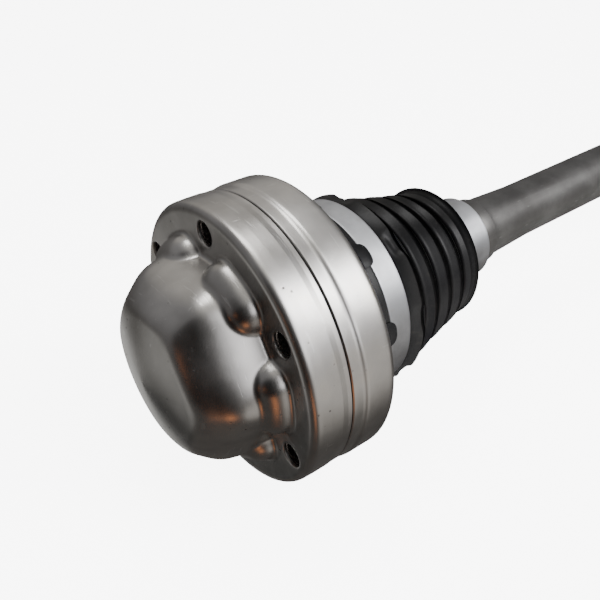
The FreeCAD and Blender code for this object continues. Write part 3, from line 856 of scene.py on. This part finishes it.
@dataclass
class Boot(Piece):
    """Rubber bellows: lip with eight locating tabs, five folds that shrink, and a collar."""

    lip_start: float = 41.4
    lip_radius: float = 34.2
    ridge_wide: float = 3.2
    ridge_rise: float = 1.8
    seat_radius: float = 31.7
    clamp_end: float = 53.8
    folds: tuple = ((61.0, 36.2, 2.6), (70.4, 34.0, 2.0), (79.5, 31.9, 2.0), (87.8, 30.0, 2.0),
                    (97.0, 28.7, 2.8))
    fold_depth: float = 6.4
    crest_over: float = 0.74
    crest_fade: tuple = (0.3, 1.6)
    valley_round: float = 1.0
    rubber: float = 2.1
    collar_start: float = 104.2
    collar_end: float = 116.4
    collar_radius: float = 15.5
    collar_bore: float = 13.6
    tabs: int = 8
    first_tab: float = math.radians(39.0)
    tab_half_wide: float = 4.6
    tab_long: float = 4.8
    tab_under: float = 35.6
    tab_high: float = 1.2
    tab_radius: float = 36.5
    tab_setback: float = 0.3
    tab_fall: float = 0.3
    tab_square: float = 3.0
    tab_grid: tuple = (13, 29)
    dent_at: float = 59.2
    dent_depth: float = 1.3
    dent_radius: float = 36.0
    dent_half_wide: float = 4.4
    dent_half_long: float = 3.2
    waves: tuple = ((0.16, 3.0, 0.21), (0.1, 7.0, -0.4))
    sag: float = 1.35
    columns: int = 288

    def folds_section(self) -> list:
        """Crests and valleys of the outside as rounded corners.

        A corner rounded by a radius r between two slopes of 55 degrees stands crest_over * r
        outside its arc, so each crest's corner lies that much above the crest.

        Returns:
            (along, out, radius) corners in mm.
        """
        peaks = [(place, crest + soft * self.crest_over, soft) for place, crest, soft in self.folds]
        valleys = [((near[0] + far[0]) / 2.0, (near[1] + far[1]) / 2.0 - self.fold_depth,
                    self.valley_round) for near, far in zip(self.folds, self.folds[1:])]
        return [corner for pair in zip(peaks, valleys) for corner in pair] + peaks[-1:]

    def section(self) -> Grid:
        """The closed section: the outside towards +X and the inside back, as (along, out)."""
        folds = self.folds_section()
        ridge = self.lip_radius + self.ridge_rise
        ridge_end = self.lip_start + self.ridge_wide
        first_fold = self.clamp_end + 0.2
        outer = rounded([
            (self.lip_start, self.seat_radius + 0.3, 0.0), (self.lip_start, ridge, 0.6),
            (ridge_end, ridge, 0.6), (ridge_end, self.lip_radius, 0.3),
            (first_fold, self.lip_radius, 0.6), *folds,
            (self.collar_start, self.collar_radius, 1.2),
            (self.collar_end, self.collar_radius, 0.5),
            (self.collar_end, self.collar_bore + 0.2, 0.0),
        ], 9)
        within = [(place, radius - self.rubber, 1.0) for place, radius, _ in reversed(folds)]
        inner = rounded([
            (self.collar_end, self.collar_bore, 0.0),
            (self.collar_start, self.collar_bore, 0.6), *within,
            (first_fold, self.seat_radius, 0.3), (self.lip_start, self.seat_radius, 0.0),
        ], 4)
        return np.vstack([refined(outer, 0.7), refined(inner, 2.0)])

    def build(self) -> Object:
        """Turn the section, then sag and dent the folds as whole grids.

        The first fold is pressed in behind each tab by dent_depth times a bell in angle and
        along the axis. The crests stray by waves, each a height times the sine of so many
        angles about the axis plus a share of the place along it. A fold's point then moves
        down by sag times a hump that is 0 at both clamps.

        Returns:
            The finished piece.
        """
        along, out, angle = about_axis(self.section(), self.columns)
        pitch = FULL_TURN / self.tabs
        from_tab = np.abs((angle - self.first_tab + pitch / 2.0) % pitch - pitch / 2.0)
        dent = np.exp(-((from_tab * self.dent_radius / self.dent_half_wide) ** 4))
        dent *= np.exp(-(((along - self.dent_at) / self.dent_half_long) ** 4))
        out -= self.dent_depth * dent
        crest = self.crests(along, out)
        wave = sum(high * np.sin(count * angle + share * along) for high, count, share in self.waves)
        free = smooth_step(self.clamp_end + 0.5, self.dent_at, along)
        free *= 1.0 - smooth_step(self.collar_start - 6.0, self.collar_start - 0.5, along)
        out += wave * free * crest
        hump = smooth_step(self.clamp_end + 0.5, self.dent_at + 3.0, along)
        hump *= 1.0 - smooth_step(self.folds[-1][0] - 9.0, self.collar_start - 1.0, along)
        across, upward = -out * np.sin(angle), out * np.cos(angle) - self.sag * hump
        # The crest share also goes to the rubber's material, which paints a sheen on the crests from it.
        boot = wrap("boot_bellows", along, np.hypot(across, upward), np.arctan2(-across, upward),
                    loop=True, attributes={"crest": crest})
        self.add_tabs(boot)
        self.dress(boot, "boot", BootRubber(), "boot_rubber")
        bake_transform(boot)
        return boot

    def crests(self, along: Grid, out: Grid) -> Grid:
        """1 at the crest of each fold, 0 in the valleys, by the depth below the envelope.

        Args:
            along: Places on the axis.
            out: Distances from the axis.

        Returns:
            The share, which falls in a straight line from the first of crest_fade's depths
            over the second.
        """
        places, heights, _ = zip(*self.folds)
        top, fade = self.crest_fade
        envelope = np.interp(along, places, heights)
        return np.clip(1.0 - (envelope - top - out) / fade, 0.0, 1.0)

    def add_tabs(self, boot: Object) -> None:
        """Add the tabs: rounded tongues on the lip's ridge that reach over the clamp's edge.

        A tongue is a grid over its own outline, a half disc stretched along the axis and
        squared off, whose top falls as the fourth power of the distance from its middle. It
        is a top sheet, a lower sheet and the rim between them.

        Args:
            boot: The bellows' object, whose mesh gains them.
        """
        rings, spokes = self.tab_grid
        power = self.tab_square
        share = np.linspace(0.0, 1.0, rings)[:, None]
        around = np.linspace(-math.pi / 2.0, math.pi / 2.0, spokes)[None, :]
        corner = np.abs(np.cos(around)) ** power + np.abs(np.sin(around)) ** power
        corner = corner ** (-1.0 / power)
        along = share * corner * np.cos(around) * self.tab_long + self.lip_start + self.tab_setback
        swing = share * corner * np.sin(around) * self.tab_half_wide / self.tab_radius
        top = self.tab_under + self.tab_high * (1.0 - self.tab_fall * share ** 4)
        under = np.full_like(top, self.tab_under)
        edge = np.array([top[-1], under[-1]])
        shell = bmesh.new()
        shell.from_mesh(boot.data)
        for turn in self.first_tab + np.arange(self.tabs) * FULL_TURN / self.tabs:
            self.add_sheet(shell, along, top, swing + turn)
            self.add_sheet(shell, along, under, swing + turn, flip=True)
            self.add_sheet(shell, along[-1:], edge, swing[-1:] + turn)
        bmesh.ops.remove_doubles(shell, verts=shell.verts, dist=JOIN)
        shell.to_mesh(boot.data)
        shell.free()
        shade(boot.data, 40.0)

    @staticmethod
    def add_sheet(shell: bmesh.types.BMesh, along: Grid, out: Grid, angle: Grid,
                  flip: bool = False) -> None:
        """Add a grid about the axis to a mesh as quads, turned over where flip is set."""
        grids = np.broadcast_arrays(along, out, angle)
        verts = [shell.verts.new(point) for point in from_axis(*grids)]
        index = np.arange(len(verts)).reshape(grids[0].shape)
        quads = np.stack([index[:-1, :-1], index[1:, :-1], index[1:, 1:], index[:-1, 1:]], axis=-1)
        for quad in quads.reshape(-1, 4):
            shell.faces.new([verts[i] for i in (quad[::-1] if flip else quad)])


@dataclass
class BandClamp(Piece):
    """Swaged band: a flat ring with rolled edges and the shallow marks of the press jaws."""

    node: str = "large_clamp"
    body: Body = Body.HOUSING
    start: float = 44.8
    wide: float = 9.0
    bore: float = 34.3
    wall: float = 1.2
    edge: float = 0.45
    jaws: int = 8
    jaw_depth: float = 0.12
    bow: float = 0.04
    columns: int = 288

    def build(self) -> Object:
        """Turn the band's closed section, pressed in between the jaws' edges.

        The outside is lower by jaw_depth times the eighth power of a cosine in angle, which
        leaves narrow creases between the jaws, and strays by a little in its middle.

        Returns:
            The finished piece.
        """
        end, outside = self.start + self.wide, self.bore + self.wall
        outer = refined(rounded([
            (self.start, self.bore, 0.0), (self.start, outside, self.edge),
            (end, outside, self.edge), (end, self.bore, 0.0),
        ], 6), 0.8)
        inner = refined(np.array([(end, self.bore), (self.start, self.bore)], float), 3.0)[1:-1]
        along, out, angle = about_axis(np.vstack([outer, inner]), self.columns)
        top = smooth_step(self.bore + 0.5 * self.wall, outside, out)
        middle = 1.0 - ((along - self.start) / self.wide * 2.0 - 1.0) ** 2
        crease = np.cos(angle * self.jaws / 2.0) ** 8
        out -= top * crease * self.jaw_depth * (0.4 + 0.6 * middle)
        out += top * self.bow * np.sin(5.0 * angle + 1.0) * middle
        band = wrap(f"{self.node}_band", along, out, angle, loop=True)
        self.dress(band, self.node, ClampMetal(), "clamp_metal", self.body)
        return band


@dataclass
class Shaft(Piece):
    """Half shaft: spline, shoulder, boot seat, collar, bar, and the free splined end."""

    start: float = -1.8
    shoulder: float = 33.45
    shoulder_wide: float = 3.5
    shoulder_radius: float = 15.5
    spline_radius: float = 13.0
    spline_root: float = 12.0
    spline_gap: tuple = (-0.3, 0.1)
    teeth: int = 24
    near_spline_end: float = 29.2
    neck_radius: float = 12.4
    seat_start: float = 99.0
    seat_radius: float = 13.3
    groove_start: float = 116.8
    groove_radius: float = 12.2
    collar_start: float = 118.3
    collar_end: float = 124.3
    collar_radius: float = 14.0
    bar_radius: float = 11.6
    flare_end: float = 152.0
    far_taper: float = 258.0
    far_spline: float = 264.0
    ring_groove: tuple = (5.0, 3.4)
    near_drill: tuple = (3.0, 2.2)
    far_drill: tuple = (4.0, 2.5)
    end: float = 300.0
    columns: int = 480

    def section(self) -> Grid:
        """The section as (along, out), from one centre hole to the other.

        Each drill is (depth, radius), and the ring's groove is given from the far end.
        """
        groove_near, groove_far = (self.end - back for back in self.ring_groove)
        tip, root, neck_start = self.spline_radius, self.spline_root, self.shoulder + self.shoulder_wide
        return refined(rounded([
            (self.start + self.near_drill[0], 0.0, 0.0), (self.start, self.near_drill[1], 0.0),
            (self.start, tip - 1.0, 0.2),
            (self.start + 1.0, tip, 0.3),
            (self.shoulder, tip, 0.3), (self.shoulder, self.shoulder_radius, 0.4),
            (neck_start, self.shoulder_radius, 0.6), (neck_start + 4.0, self.neck_radius, 2.0),
            (self.seat_start - 4.0, self.neck_radius, 2.0),
            (self.seat_start, self.seat_radius, 1.0),
            (self.groove_start, self.seat_radius, 0.2),
            (self.groove_start + 0.3, self.groove_radius, 0.2),
            (self.collar_start - 0.2, self.groove_radius, 0.2),
            (self.collar_start, self.collar_radius, 0.2),
            (self.collar_end, self.collar_radius, 0.5),
            (self.collar_end + 0.5, self.seat_radius - 0.5, 0.3),
            (self.flare_end, self.bar_radius, 24.0),
            (self.far_taper, self.bar_radius, 4.0), (self.far_spline, tip, 1.0),
            (groove_near, tip, 0.0), (groove_near, root, 0.0),
            (groove_far, root, 0.0), (groove_far, tip, 0.0),
            (self.end - 1.0, tip, 0.3), (self.end, tip - 1.0, 0.2),
            (self.end, self.far_drill[1], 0.0), (self.end - self.far_drill[0], 0.0, 0.0),
        ], 5), 3.0)

    def build(self) -> Object:
        """Turn the bar's section and cut the teeth into it as a grid.

        In a splined stretch the distance from the axis falls from the tooth's tip to its root
        by a step in the cosine of the tooth's angle, which gives straight, slightly sloped
        flanks.

        Returns:
            The finished piece.
        """
        along, out, angle = about_axis(self.section(), self.columns)
        gap = smooth_step(*self.spline_gap, np.cos(angle * self.teeth))
        near = (along > self.start - 0.1) & (along < self.near_spline_end)
        toothed = (near | (along > self.far_spline + 0.5)) & (out > self.spline_root - 2.0)
        root = np.minimum(out, self.spline_root)
        out = np.where(toothed, root + (out - root) * (1.0 - gap), out)
        bar = wrap("shaft_bar", along, out, angle)
        self.dress(bar, "shaft", ShaftSteel(), "shaft_steel", Body.SHAFT)
        return bar


@dataclass
class InnerParts(Piece):
    """The CAD nodes that stay visible: each gets the finish of its own metal or fibre."""

    finishes: dict = field(default_factory=lambda: {
        "front_gasket": GasketFibre(),
        "rear_gasket": GasketFibre(),
        "outer_race": GroundSteel(),
        "inner_race": GroundSteel("inner_race_steel"),
        "cage": GroundSteel("cage_steel", (0.4, 0.39, 0.375), (0.26, 0.255, 0.245), 0.32, 900.0),
        "circlip": GroundSteel("spring_steel", (0.2, 0.2, 0.21), (0.12, 0.12, 0.125), 0.3, 500.0),
        "dished_washer": GroundSteel("washer_steel", (0.22, 0.22, 0.23), (0.14, 0.14, 0.145), 0.3, 500.0),
        "thrust_ring": GroundSteel("thrust_ring_steel", (0.46, 0.45, 0.44), (0.34, 0.33, 0.32), 0.28, 900.0),
    })
    ball: Finish = GroundSteel("ball_steel", (0.68, 0.675, 0.66), (0.55, 0.545, 0.53), 0.08, 300.0)
    balls: int = 6

    def build(self) -> None:
        """Give every node its material. Nodes with one finish share it."""
        chosen = {**self.finishes, **{f"ball_{place + 1}": self.ball for place in range(self.balls)}}
        made = {}
        for node, finish in chosen.items():
            if finish.title not in made:
                made[finish.title] = finish.material()
            mesh = self.frame["nodes"][node].data
            mesh.materials.clear()
            mesh.materials.append(made[finish.title])
            LOG.info("%s keeps its CAD form, in %s", node, finish.title)


# Studio


@dataclass
class Softbox:
    """A soft rectangular light."""

    place: tuple
    target: tuple
    size: tuple
    power: float

    def build(self, name: str) -> None:
        """Hang the light and aim it."""
        lamp = bpy.data.lights.new(name, "AREA")
        lamp.shape = "RECTANGLE"
        lamp.size, lamp.size_y = self.size
        lamp.energy = self.power
        holder = placed(name, lamp)
        holder.location = self.place
        aim = Vector(self.target) - Vector(self.place)
        holder.rotation_euler = aim.to_track_quat("-Z", "Y").to_euler()


@dataclass(frozen=True)
class Panel:
    """A soft round patch of the surrounding, which the steel mirrors."""

    toward: tuple
    core: float
    edge: float
    colour: tuple

    def over(self, graph: Graph, toward: Value, behind: Value) -> Value:
        """Lay the patch over what is behind it.

        Its strength is a smooth step in the cosine of the angle from its middle: 1 within
        core degrees and 0 beyond edge degrees.

        Args:
            graph: The surrounding's node graph.
            toward: The direction looked in, a unit vector socket.
            behind: The colour behind the patch.

        Returns:
            The combined colour.
        """
        middle = tuple(Vector(self.toward).normalized())
        settings = {"operation": "DOT_PRODUCT"}
        near = graph.node("ShaderNodeVectorMath", settings, {0: toward, 1: middle}, "Value")
        low, high = (math.cos(math.radians(angle)) for angle in (self.edge, self.core))
        return graph.mix(near.ramp(low, high), behind, self.colour)


@dataclass
class Studio:
    """Pale floor, soft lights, a bright surrounding, and the camera."""

    bounds: tuple
    camera_place: tuple = (-0.0872, -0.17215, 0.1384)
    right: tuple = (0.79467, -0.60419, -0.0588)
    upward: tuple = (0.36481, 0.3979, 0.84177)
    lens: float = 42.0
    sensor: float = 36.0
    clip: tuple = (0.01, 50.0)
    floor_reach: float = 4.0
    floor_glow: float = 7.0
    floor_colour: tuple = (0.9, 0.9, 0.9)
    backdrop: tuple = (4.0, 4.0, 4.0)
    ground: tuple = (0.1, 0.095, 0.09)
    ceiling: tuple = (0.3, 0.3, 0.31)
    panels: tuple = (
        Panel((0.34, -0.66, 0.67), 9.0, 21.0, (10.0, 10.0, 10.2)),
        Panel((0.18, -0.91, 0.36), 10.0, 24.0, (3.2, 3.2, 3.3)),
        Panel((0.1, -0.1, 0.99), 10.0, 30.0, (0.85, 0.83, 0.78)),
        Panel((0.25, 0.7, 0.62), 18.0, 36.0, (0.55, 0.53, 0.5)),
        Panel((-0.05, 0.74, -0.62), 8.0, 22.0, (0.9, 0.9, 0.88)),
        Panel((-0.75, 0.5, -0.42), 8.0, 26.0, (0.6, 0.6, 0.59)),
        Panel((-0.4, 0.58, -0.71), 9.0, 19.0, (0.006, 0.006, 0.006)),
        Panel((0.3, -0.82, -0.42), 12.0, 34.0, (0.85, 0.82, 0.78)),
        Panel((-0.76, -0.6, 0.24), 33.0, 45.0, (0.006, 0.005, 0.005)),
        Panel((-0.5, -0.62, -0.52), 5.0, 11.0, (1.6, 0.62, 0.26)),
        Panel((-0.97, -0.22, 0.1), 1.5, 6.0, (1.1, 0.42, 0.18)),
    )
    lights: tuple = (
        Softbox((0.1, 0.1, 0.6), (0.05, 0.0, 0.0), (0.3, 0.2), 1.6),
        Softbox((0.4, -0.45, 0.35), (0.05, 0.0, 0.0), (0.12, 0.3), 1.8),
    )

    def build(self) -> None:
        """Set up everything that isn't the object."""
        self.build_floor()
        self.build_surrounding()
        for number, light in enumerate(self.lights):
            light.build(f"softbox_{number}")
        self.build_camera()

    def build_floor(self) -> None:
        """A large plain floor at the object's lowest point."""
        low, high = np.array(self.bounds, float)
        corners = np.array([(-1, -1, 0), (1, -1, 0), (1, 1, 0), (-1, 1, 0)], float)
        middle = np.append((low[:2] + high[:2]) / 2.0, low[2])
        mesh = bpy.data.meshes.new("floor")
        mesh.from_pydata(corners * self.floor_reach + middle, [], [(0, 1, 2, 3)])
        paint = {"Base Color": (*self.floor_colour, 1.0), "Roughness": 0.9,
                 "Emission Color": (1.0, 1.0, 1.0, 1.0), "Emission Strength": self.floor_glow}
        mesh.materials.append(new_material("floor_paint", lambda graph: paint))
        floor = placed("floor", mesh)
        floor.visible_glossy = False
        floor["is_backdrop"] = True

    def build_surrounding(self) -> None:
        """A white backdrop, and behind the camera's back the room that the steel mirrors."""
        world = bpy.data.worlds.new("surrounding")
        world.use_nodes = True
        graph = Graph(world.node_tree)
        toward = graph.node("ShaderNodeTexCoord", output="Generated")
        sky = graph.mix(graph.parts(toward)[2].ramp(-0.3, 0.6), self.ground, self.ceiling)
        for panel in self.panels:
            sky = panel.over(graph, toward, sky)
        seen = graph.node("ShaderNodeLightPath", output="Is Camera Ray")
        background = graph.node("ShaderNodeBackground", None,
                                {"Color": graph.mix(seen, sky, self.backdrop)})
        graph.node("ShaderNodeOutputWorld", None, {"Surface": background})
        bpy.context.scene.world = world

    def build_camera(self) -> None:
        """A camera whose axes are given as vectors of the row frame."""
        camera = bpy.data.cameras.new("camera")
        camera.lens, camera.sensor_width = self.lens, self.sensor
        camera.clip_start, camera.clip_end = self.clip
        holder = placed("camera", camera)
        right, upward = Vector(self.right).normalized(), Vector(self.upward).normalized()
        turned = Matrix((right, upward, right.cross(upward))).transposed().to_4x4()
        holder.matrix_world = Matrix.Translation(self.camera_place) @ turned
        bpy.context.scene.camera = holder


def main() -> None:
    """Build the studio and every piece."""
    logging.basicConfig(level=logging.INFO)
    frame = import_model()
    cad_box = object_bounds()
    Studio(cad_box).build()
    cover = EndCover(frame)
    cover.build()
    RearCover(frame).build(cover.punch())
    Boot(frame).build()
    BandClamp(frame).build()
    BandClamp(frame, "small_clamp", Body.SHAFT, 104.4, 11.8, 15.8).build()
    Shaft(frame).build()
    InnerParts(frame).build()
    LOG.info("all pieces are in place")


if __name__ == "__main__":
    main()
